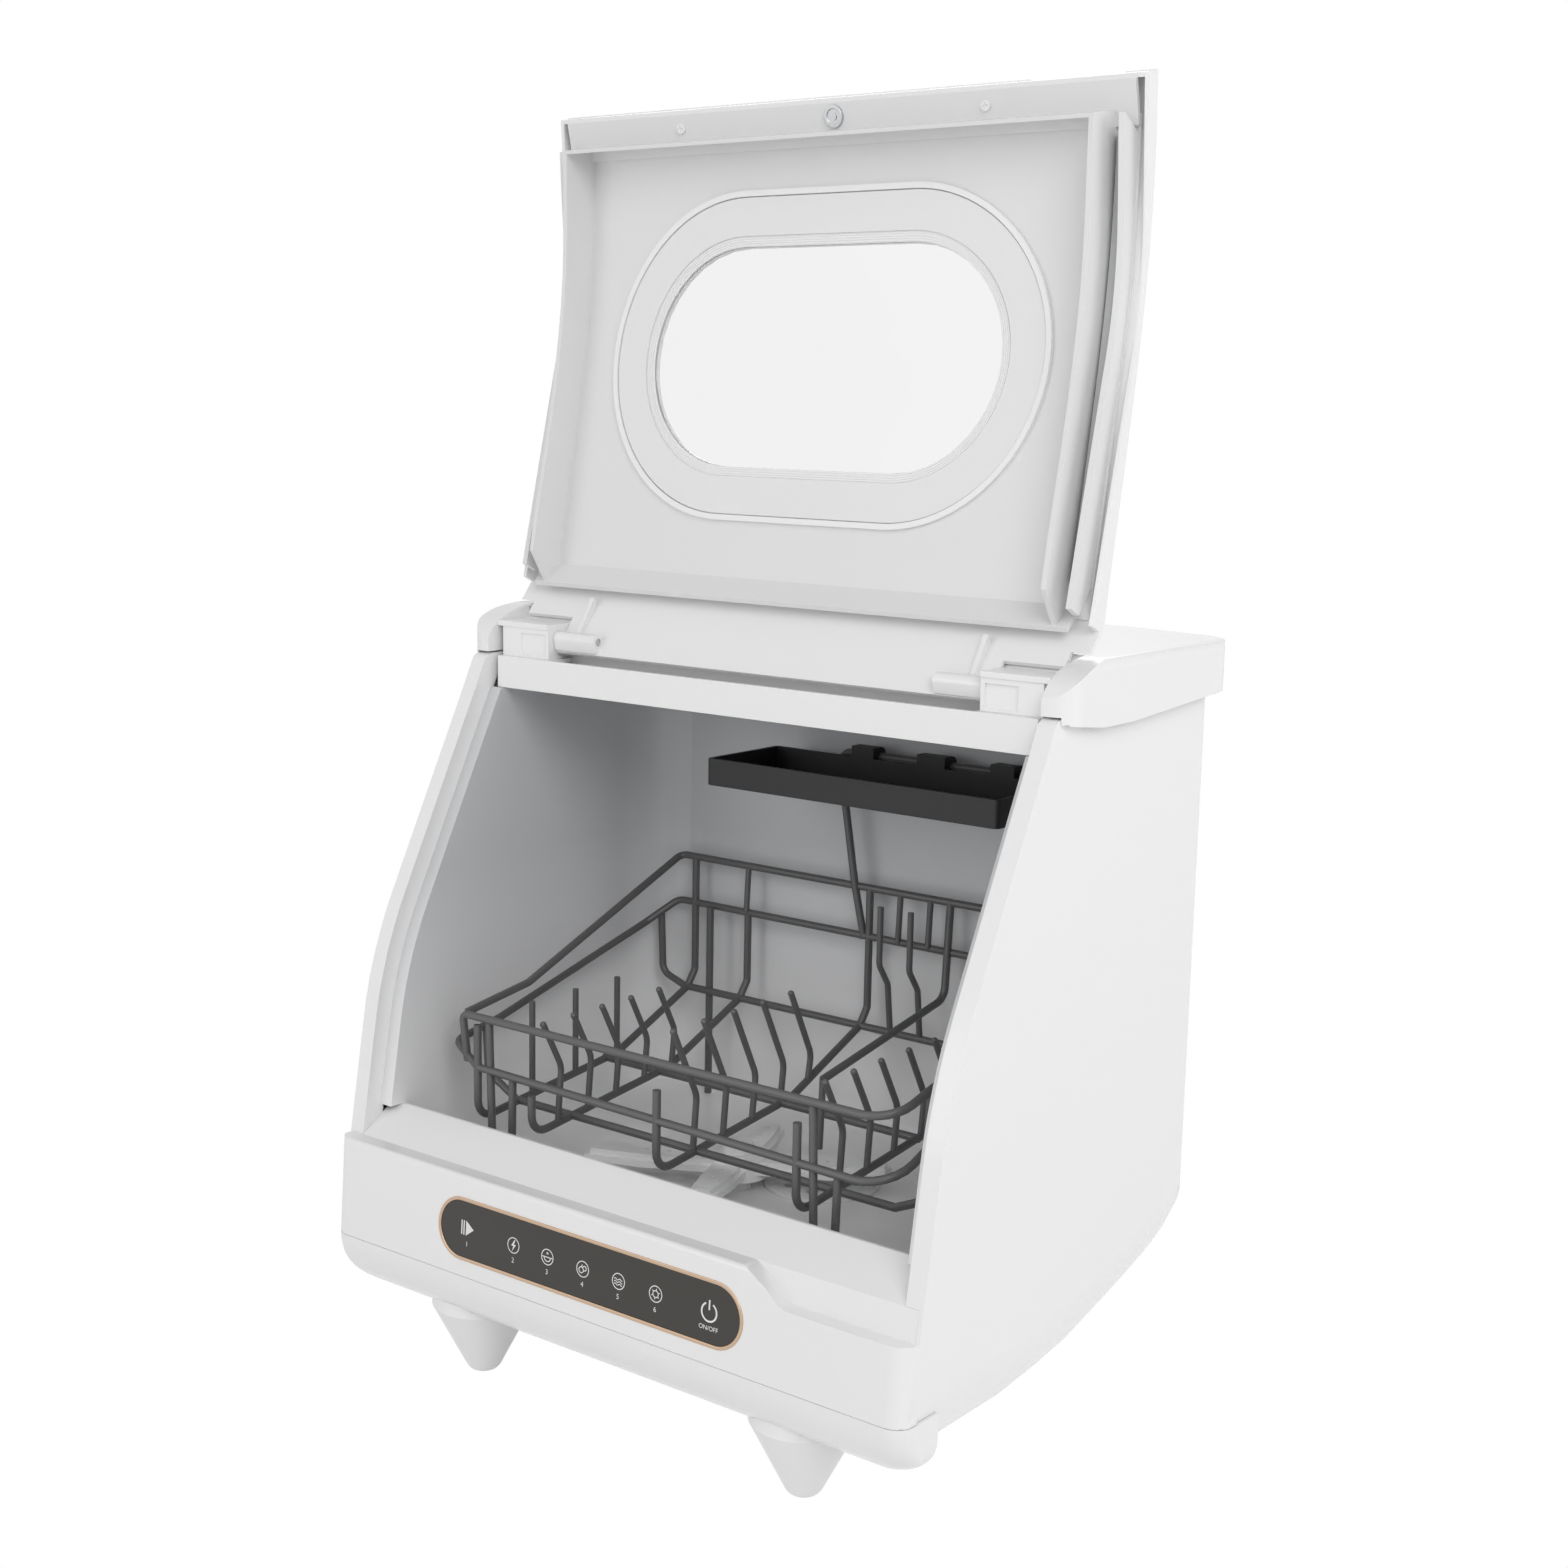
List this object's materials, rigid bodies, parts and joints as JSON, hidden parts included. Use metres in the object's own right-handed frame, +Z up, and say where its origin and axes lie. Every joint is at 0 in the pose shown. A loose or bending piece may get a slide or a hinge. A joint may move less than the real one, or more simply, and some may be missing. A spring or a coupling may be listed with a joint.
{
  "type": "countertop dishwasher",
  "caption": "Free-standing countertop dishwasher with a lift-up curved lid and oval window, white wash tub, coated wire rack with folding shelf, touch panel and cone feet.",
  "frame": {"origin": "bottom centre of the bounding box: on the counter under the middle of the closed footprint", "axes": "+X to the machine's right as seen from the front, +Y to the rear, +Z up"},
  "size_m": [0.444, 0.315, 0.7665],
  "materials": {
    "white_gloss": "gloss",
    "white_satin": "satin",
    "pale_grey": "satin",
    "steel": "brushed",
    "panel_dark": "gloss",
    "bronze_trim": "satin",
    "board_green": "satin",
    "black_plastic": "matte",
    "grey_rubber": "matte",
    "tank_plastic": "satin",
    "window_clear": "clear",
    "coated_wire": "satin"
  },
  "bodies": {
    "housing": {"base_tray": "white_gloss", "front_panel": "white_gloss", "body_shell": "white_gloss", "tub": "white_satin", "header_beam": "white_satin", "top_cover": "white_gloss", "hinge_bracket_left": "white_satin", "hinge_bracket_right": "white_satin", "hinge_pin_left": "steel", "hinge_pin_right": "steel", "foot_front_left": "white_gloss", "foot_front_right": "white_gloss", "foot_rear_left": "white_gloss", "foot_rear_right": "white_gloss", "touch_lens": "panel_dark", "trim_ring": "bronze_trim", "control_board": "board_green", "lid_sensor": "black_plastic", "power_board": "board_green", "sump": "pale_grey", "spray_shaft": "pale_grey", "wash_pump": "black_plastic", "drain_pump": "black_plastic", "heater": "steel", "wash_hose": "grey_rubber", "drain_hose": "grey_rubber", "inlet_hose": "grey_rubber", "water_tank": "tank_plastic", "fan_housing": "black_plastic", "air_duct": "black_plastic", "rear_grille": "pale_grey", "drain_outlet": "tank_plastic", "water_inlet": "tank_plastic", "cable_gland": "black_plastic"},
    "lid": {"lid_shell": "white_gloss", "lid_liner": "white_satin", "lid_window": "window_clear", "window_ring": "white_satin", "window_gasket": "grey_rubber", "lid_seal": "grey_rubber", "catch_disc": "steel", "lid_screws": "steel"},
    "rack": {"rack": "coated_wire"},
    "shelf": {"shelf": "black_plastic"},
    "spray": {"spray_arm": "pale_grey", "hub_nut": "pale_grey"},
    "filter": {"filter_cup": "pale_grey"},
    "pump_rotor": {"pump_impeller": "black_plastic"},
    "fan_rotor": {"fan_impeller": "black_plastic"}
  },
  "joints": [
    {"name": "lid_hinge", "type": "hinge", "parent": "housing", "child": "lid", "pos_m": [0, -0.0135, 0.441], "axis": [1, 0, 0], "range_deg": [0, 166.5]},
    {"name": "rack_lift", "type": "slide", "parent": "housing", "child": "rack", "axis": [0, 0, 1], "range_m": [0, 0.012]},
    {"name": "shelf_fold", "type": "hinge", "parent": "rack", "child": "shelf", "pos_m": [0, 0.1105, 0.37], "axis": [-1, 0, 0], "range_deg": [0, 30]},
    {"name": "spray_spin", "type": "hinge", "parent": "housing", "child": "spray", "pos_m": [-0.006, -0.0175, 0.133], "axis": [0, 0, 1], "continuous": true},
    {"name": "filter_turn", "type": "hinge", "parent": "housing", "child": "filter", "pos_m": [0.03, 0.0205, 0.118], "axis": [0, 0, 1], "range_deg": [0, 60]},
    {"name": "pump_spin", "type": "hinge", "parent": "housing", "child": "pump_rotor", "pos_m": [0.11, -0.0415, 0.084], "axis": [0, 1, 0], "continuous": true},
    {"name": "fan_spin", "type": "hinge", "parent": "housing", "child": "fan_rotor", "pos_m": [-0.13, 0.0725, 0.443], "axis": [0, 0, 1], "continuous": true}
  ]
}
